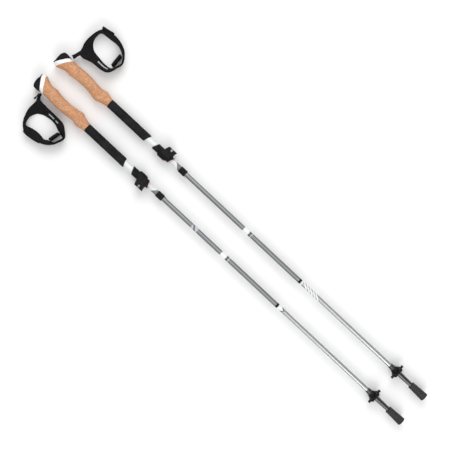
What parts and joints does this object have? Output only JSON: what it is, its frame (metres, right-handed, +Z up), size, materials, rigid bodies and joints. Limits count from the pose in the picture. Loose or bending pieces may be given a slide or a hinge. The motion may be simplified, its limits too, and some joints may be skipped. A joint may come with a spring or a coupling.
{
  "type": "trekking poles",
  "caption": "Folding trekking poles with cork grips, padded hand straps, lever-clamped length adjustment, a push-button lock, small baskets and rubber feet.",
  "frame": {"origin": "on the ground, below the middle of the box that holds both poles", "axes": "+X along the shafts from the handles to the feet, +Y across from the left pole to the right pole, +Z up from the ground they lie on"},
  "size_m": [1.198, 0.3188, 0.0376],
  "materials": {
    "rubber": "matt moulded rubber, finely textured",
    "black_plastic": "satin moulded glass-filled plastic",
    "steel": "bright stainless steel",
    "carbide": "ground hard metal",
    "silver_aluminium": "silver anodised tube",
    "grey_aluminium": "grey anodised tube",
    "white_lacquer": "aluminium tube under gloss white lacquer",
    "white_plastic": "semi-gloss moulded plastic",
    "foam": "matt closed-cell foam",
    "cork": "ground agglomerated cork",
    "black_webbing": "woven nylon over soft padding",
    "coated_cable": "plastic-coated fibre cord"
  },
  "bodies": {
    "handles": {"left_upper_tube": "white_lacquer", "left_foam_sleeve": "foam", "left_cork_grip": "cork", "left_head_cap": "white_plastic", "left_strap_pin": "steel", "left_strap_webbing": "black_webbing", "left_clamp_collar": "black_plastic", "left_clamp_bolt": "steel", "left_lever_pin": "steel", "right_upper_tube": "white_lacquer", "right_foam_sleeve": "foam", "right_cork_grip": "cork", "right_head_cap": "white_plastic", "right_strap_pin": "steel", "right_strap_webbing": "black_webbing", "right_clamp_collar": "black_plastic", "right_clamp_bolt": "steel", "right_lever_pin": "steel"},
    "left_wedge": {"left_strap_wedge": "black_plastic"},
    "left_strap": {"left_hand_strap": "black_webbing", "left_strap_pad": "black_webbing"},
    "left_lever": {"left_clamp_lever": "black_plastic"},
    "left_nut": {"left_thumb_nut": "black_plastic"},
    "left_adjust": {"left_adjust_tube": "white_lacquer", "left_guide_bush": "black_plastic", "left_lock_ferrule": "black_plastic", "left_tension_tube": "grey_aluminium"},
    "left_button": {"left_lock_button": "steel", "left_button_spring": "steel"},
    "left_middle": {"left_middle_shaft": "grey_aluminium", "left_lower_spigot": "silver_aluminium", "left_joint_ring": "black_plastic"},
    "left_lower": {"left_lower_shaft": "silver_aluminium", "left_cable_anchor": "black_plastic", "left_tension_cable": "coated_cable", "left_flex_tip": "black_plastic", "left_carbide_tip": "carbide"},
    "left_basket": {"left_basket": "black_plastic"},
    "left_foot": {"left_rubber_foot": "rubber"},
    "right_wedge": {"right_strap_wedge": "black_plastic"},
    "right_strap": {"right_hand_strap": "black_webbing", "right_strap_pad": "black_webbing"},
    "right_lever": {"right_clamp_lever": "black_plastic"},
    "right_nut": {"right_thumb_nut": "black_plastic"},
    "right_adjust": {"right_adjust_tube": "white_lacquer", "right_guide_bush": "black_plastic", "right_lock_ferrule": "black_plastic", "right_tension_tube": "grey_aluminium"},
    "right_button": {"right_lock_button": "steel", "right_button_spring": "steel"},
    "right_middle": {"right_middle_shaft": "grey_aluminium", "right_lower_spigot": "silver_aluminium", "right_joint_ring": "black_plastic"},
    "right_lower": {"right_lower_shaft": "silver_aluminium", "right_cable_anchor": "black_plastic", "right_tension_cable": "coated_cable", "right_flex_tip": "black_plastic", "right_carbide_tip": "carbide"},
    "right_basket": {"right_basket": "black_plastic"},
    "right_foot": {"right_rubber_foot": "rubber"}
  },
  "joints": [
    {"name": "left_wedge_lift", "type": "slide", "parent": "handles", "child": "left_wedge", "axis": [-1, 0, 0], "range_m": [0, 0.008]},
    {"name": "left_strap_swing", "type": "hinge", "parent": "handles", "child": "left_strap", "pos_m": [-0.5678, -0.0751, 0.01881], "axis": [0, 0, -1], "range_deg": [-8, 60]},
    {"name": "left_lever_open", "type": "hinge", "parent": "handles", "child": "left_lever", "pos_m": [-0.247, -0.06392, 0.02891], "axis": [1, 0, 0], "range_deg": [0, 140]},
    {"name": "left_nut_turn", "type": "hinge", "parent": "handles", "child": "left_nut", "pos_m": [-0.247, -0.06392, 0.01181], "axis": [0, 0, 1], "continuous": true},
    {"name": "left_length_adjust", "type": "slide", "parent": "handles", "child": "left_adjust", "axis": [1, 0, 0], "range_m": [-0.025, 0.17]},
    {"name": "left_button_press", "type": "slide", "parent": "left_adjust", "child": "left_button", "axis": [0, -1, 0], "range_m": [0, 0.0023], "stiffness_N_per_m": 800},
    {"name": "left_middle_pull", "type": "slide", "parent": "left_adjust", "child": "left_middle", "axis": [1, 0, 0], "range_m": [0, 0.034]},
    {"name": "left_lower_pull", "type": "slide", "parent": "left_middle", "child": "left_lower", "axis": [1, 0, 0], "range_m": [0, 0.034]},
    {"name": "left_basket_turn", "type": "hinge", "parent": "left_lower", "child": "left_basket", "pos_m": [0.497, -0.04712, 0.01881], "axis": [1, 0, 0], "continuous": true},
    {"name": "left_foot_pull", "type": "slide", "parent": "left_lower", "child": "left_foot", "axis": [1, 0, 0], "range_m": [0, 0.05]},
    {"name": "right_wedge_lift", "type": "slide", "parent": "handles", "child": "right_wedge", "axis": [-1, 0, 0], "range_m": [0, 0.008]},
    {"name": "right_strap_swing", "type": "hinge", "parent": "handles", "child": "right_strap", "pos_m": [-0.57036, 0.06883, 0.01881], "axis": [0, 0, 1], "range_deg": [-8, 60]},
    {"name": "right_lever_open", "type": "hinge", "parent": "handles", "child": "right_lever", "pos_m": [-0.247, 0.04968, 0.02891], "axis": [-1, 0, 0], "range_deg": [0, 140]},
    {"name": "right_nut_turn", "type": "hinge", "parent": "handles", "child": "right_nut", "pos_m": [-0.247, 0.04968, 0.01181], "axis": [0, 0, 1], "continuous": true},
    {"name": "right_length_adjust", "type": "slide", "parent": "handles", "child": "right_adjust", "axis": [1, 0, 0], "range_m": [-0.025, 0.17]},
    {"name": "right_button_press", "type": "slide", "parent": "right_adjust", "child": "right_button", "axis": [0, 1, 0], "range_m": [0, 0.0023], "stiffness_N_per_m": 800},
    {"name": "right_middle_pull", "type": "slide", "parent": "right_adjust", "child": "right_middle", "axis": [1, 0, 0], "range_m": [0, 0.034]},
    {"name": "right_lower_pull", "type": "slide", "parent": "right_middle", "child": "right_lower", "axis": [1, 0, 0], "range_m": [0, 0.034]},
    {"name": "right_basket_turn", "type": "hinge", "parent": "right_lower", "child": "right_basket", "pos_m": [0.497, 0.03288, 0.01881], "axis": [1, 0, 0], "continuous": true},
    {"name": "right_foot_pull", "type": "slide", "parent": "right_lower", "child": "right_foot", "axis": [1, 0, 0], "range_m": [0, 0.05]}
  ]
}
